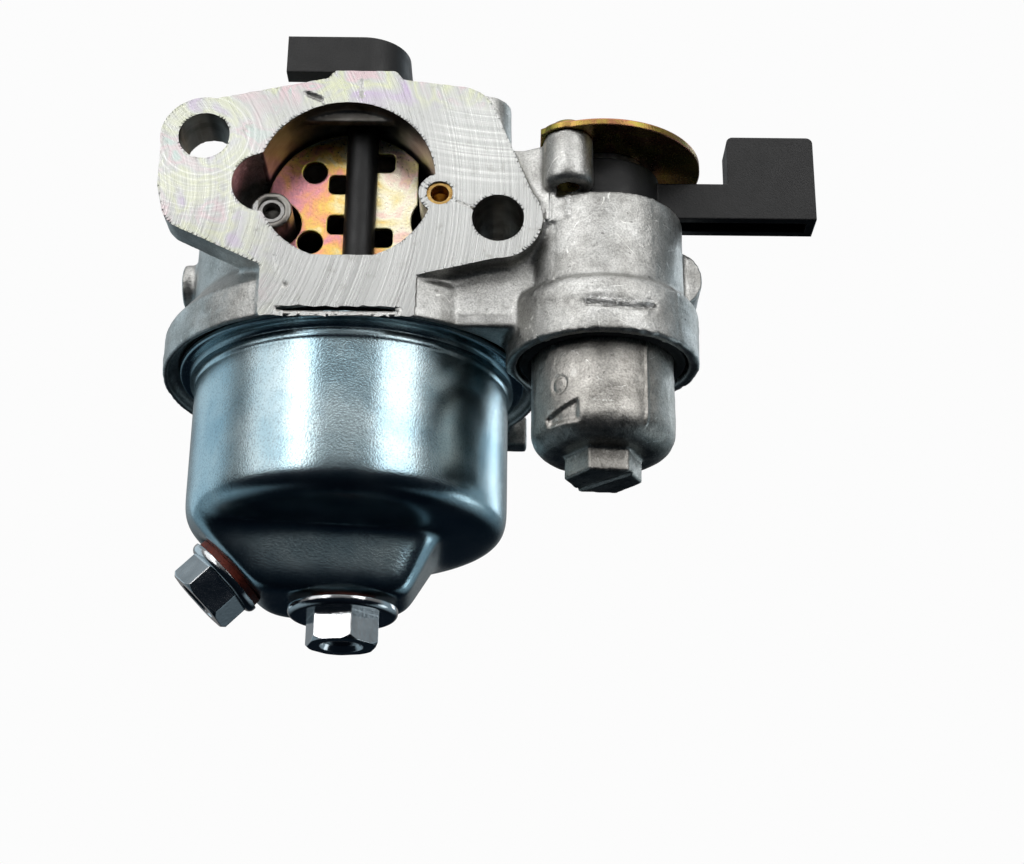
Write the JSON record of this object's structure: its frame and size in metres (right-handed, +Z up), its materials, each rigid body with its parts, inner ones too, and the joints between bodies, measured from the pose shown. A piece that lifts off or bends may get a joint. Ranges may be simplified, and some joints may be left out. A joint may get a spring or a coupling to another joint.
{
  "type": "carburetor",
  "caption": "Float-bowl carburetor with choke and throttle butterflies, flanges for two studs, and a side fuel cock with sediment cup and lever.",
  "frame": {"origin": "middle of the stud pattern on the engine flange face", "axes": "+Z up as installed, +Y along the bore towards the engine, +X towards the fuel cock"},
  "size_m": [0.0917, 0.0579, 0.0818],
  "materials": {
    "die_cast_aluminium": "satin",
    "blue_zinc_steel": "satin",
    "bright_zinc_steel": "gloss",
    "yellow_zinc_steel": "satin",
    "brass": "satin",
    "black_plastic": "satin",
    "white_plastic": "matte",
    "black_rubber": "matte",
    "red_fibre": "matte",
    "bare_steel": "satin"
  },
  "bodies": {
    "carburetor": {"carburetor_body": "die_cast_aluminium", "main_nozzle": "brass", "main_jet": "brass", "pilot_jet": "brass", "pilot_air_jet": "brass", "main_air_jet": "bare_steel", "needle_seat": "brass", "float_pin": "bare_steel", "bowl_gasket": "black_rubber", "float_bowl": "blue_zinc_steel", "bowl_bolt": "bright_zinc_steel", "bowl_bolt_washer": "red_fibre", "drain_bolt": "bright_zinc_steel", "drain_washer": "red_fibre", "sediment_cup": "die_cast_aluminium", "cup_o_ring": "black_rubber", "fuel_strainer": "white_plastic", "fuel_nipple": "yellow_zinc_steel", "valve_gasket": "black_rubber", "wave_washer": "bare_steel", "valve_plate": "yellow_zinc_steel", "valve_plate_screws": "yellow_zinc_steel", "choke_seal": "black_rubber", "throttle_seal": "black_rubber", "passage_plugs": "brass", "idle_spring": "bare_steel", "mixture_spring": "bare_steel"},
    "choke": {"choke_shaft": "black_plastic", "choke_plate": "yellow_zinc_steel"},
    "throttle": {"throttle_shaft": "bare_steel", "throttle_lever": "yellow_zinc_steel", "throttle_plate": "brass", "throttle_plate_screw": "bright_zinc_steel"},
    "fuel_valve": {"fuel_valve_lever": "black_plastic"},
    "float": {"float_ring": "white_plastic", "float_tang": "bare_steel"},
    "needle": {"float_needle": "bare_steel"},
    "idle_adjuster": {"idle_screw": "brass"},
    "mixture_adjuster": {"mixture_screw": "brass"}
  },
  "joints": [
    {"name": "choke_turn", "type": "hinge", "parent": "carburetor", "child": "choke", "pos_m": [0.0009, -0.0456, -0.0005], "axis": [0, 0, -1], "range_deg": [0, 75]},
    {"name": "throttle_turn", "type": "hinge", "parent": "carburetor", "child": "throttle", "pos_m": [-0.0005, -0.0105, -0.0005], "axis": [0, 0, 1], "range_deg": [0, 75]},
    {"name": "fuel_valve_turn", "type": "hinge", "parent": "carburetor", "child": "fuel_valve", "pos_m": [0.03435, -0.044, -0.0005], "axis": [0, 0, 1], "range_deg": [-80, 0]},
    {"name": "float_swing", "type": "hinge", "parent": "carburetor", "child": "float", "pos_m": [-0.0007, -0.0105, -0.021], "axis": [1, 0, 0], "range_deg": [-8, 0]},
    {"name": "needle_slide", "type": "slide", "parent": "carburetor", "child": "needle", "axis": [0, 0, 1], "range_m": [0, 0.00085]},
    {"name": "idle_speed_turn", "type": "hinge", "parent": "carburetor", "child": "idle_adjuster", "pos_m": [0.0075, -0.028, 0.0193], "axis": [0, 1, 0], "range_deg": [-360, 720]},
    {"name": "mixture_turn", "type": "hinge", "parent": "carburetor", "child": "mixture_adjuster", "pos_m": [0.0195, -0.0145, 0.0015], "axis": [1, 0, 0], "range_deg": [-180, 720]}
  ],
  "couplings": [
    {"joint": "needle_slide", "follows": "float_swing", "m_per_rad": -0.006}
  ]
}
